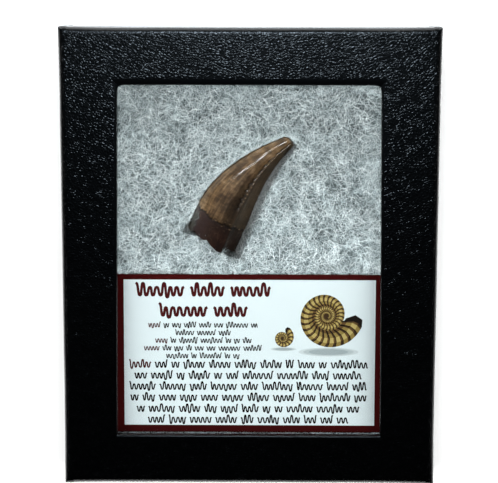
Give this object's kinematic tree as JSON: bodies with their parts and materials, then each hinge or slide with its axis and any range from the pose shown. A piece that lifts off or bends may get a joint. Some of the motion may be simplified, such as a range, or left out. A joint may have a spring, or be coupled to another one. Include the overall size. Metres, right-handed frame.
{
  "type": "fossil tyrannosaurus tooth",
  "caption": "Curved brown fossil tooth with a broken base, held on white wadding under the glass of a flat black display box with a label card below it.",
  "frame": {"origin": "middle of the box's underside, where the tray rests on a surface", "axes": "+X to the right across the window, +Y up the label towards the tooth's tip, +Z out of the glass"},
  "size_m": [0.1098, 0.1342, 0.0191],
  "materials": {
    "lid_covering": "pebble-grained black covering paper over board",
    "tray_board": "matt black covering paper over board",
    "pane": "clear float glass, ground edges",
    "card_stock": "smooth white card, printed, dark red border",
    "fibre": "loose white fibre wadding",
    "fossil": "polished brown fossil enamel, finely cracked"
  },
  "bodies": {
    "root": {"lid": "lid_covering", "tray": "tray_board", "glass": "pane", "label_card": "card_stock", "wadding": "fibre", "tooth": "fossil"}
  },
  "joints": []
}
